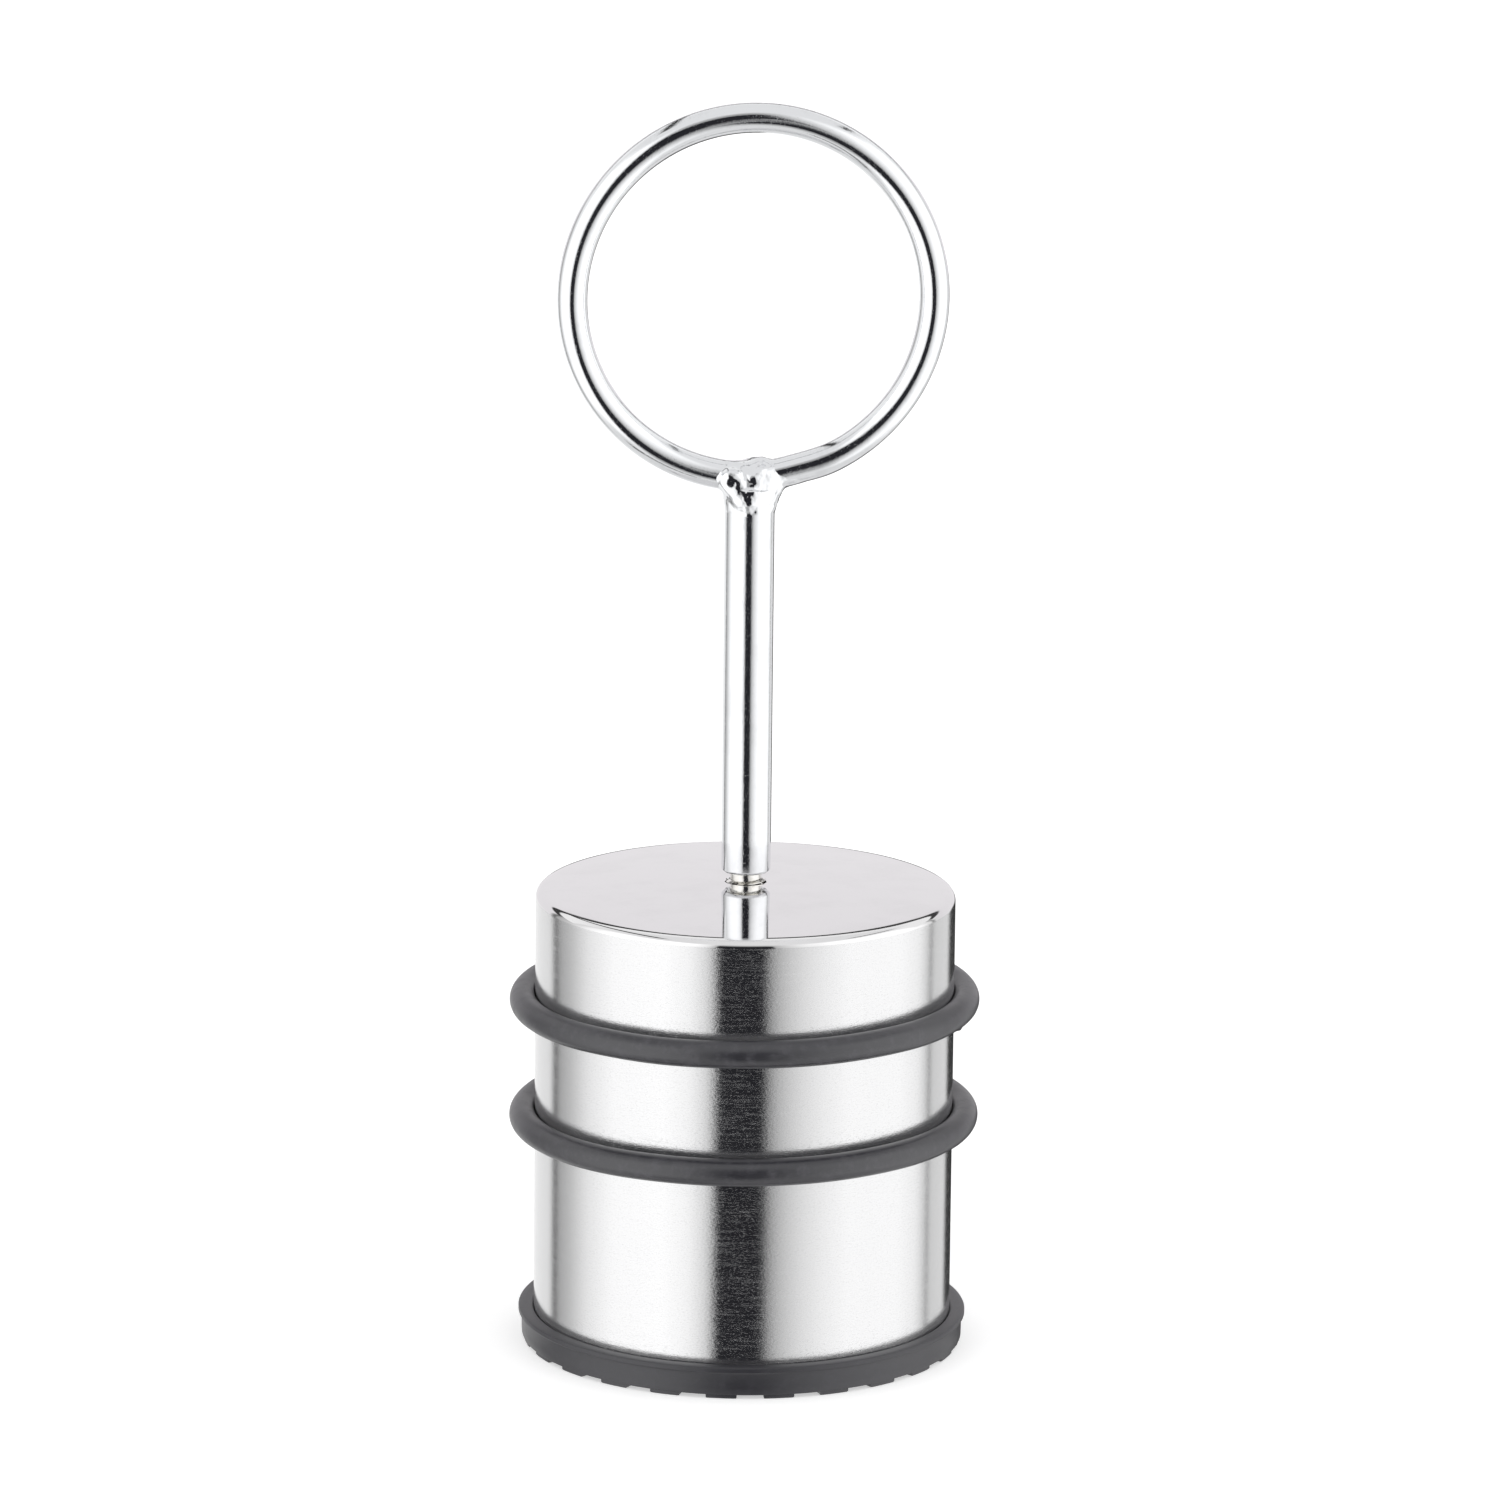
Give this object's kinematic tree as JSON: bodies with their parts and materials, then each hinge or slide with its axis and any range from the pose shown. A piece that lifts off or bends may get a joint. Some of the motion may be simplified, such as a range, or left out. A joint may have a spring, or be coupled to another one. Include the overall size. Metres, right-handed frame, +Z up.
{
  "type": "floor door stop with lifting ring",
  "caption": "Weighted brushed-steel drum door stop with rubber bumper rings, a rubber base cup and a screw-on rod handle that ends in a lifting ring.",
  "frame": {"origin": "centre of the drum's axis on the floor that the rubber base stands on", "axes": "+Z up along the drum and stem; the handle ring stands nearly in the XZ plane, turned 6 degrees about +Z"},
  "size_m": [0.0952, 0.0952, 0.2545],
  "materials": {
    "brushed_drum": "satin",
    "bright_plating": "polished",
    "zinc_steel": "satin",
    "plain_steel": "satin",
    "dark_rubber": "matte",
    "cement": "matte"
  },
  "bodies": {
    "weighted_drum": {"drum_shell": "brushed_drum", "cement_ballast": "cement", "weld_nut": "zinc_steel", "threaded_stud": "zinc_steel", "anchor_washer": "zinc_steel", "anchor_nut": "zinc_steel", "closing_plate": "plain_steel", "base_cup": "dark_rubber", "upper_bumper_ring": "dark_rubber", "lower_bumper_ring": "dark_rubber"},
    "handle_stem": {"stem": "bright_plating"},
    "handle_ring": {"ring_handle": "bright_plating", "weld_bead": "bright_plating"}
  },
  "joints": [
    {"name": "handle_rise", "type": "slide", "parent": "weighted_drum", "child": "handle_stem", "axis": [0, 0, 1], "range_m": [0, 0.01]},
    {"name": "handle_turn", "type": "hinge", "parent": "handle_stem", "child": "handle_ring", "pos_m": [0, 0, 0.175], "axis": [0, 0, 1], "range_deg": [0, 2880]}
  ],
  "couplings": [
    {"joint": "handle_rise", "follows": "handle_turn", "m_per_rad": 0.00019894}
  ]
}
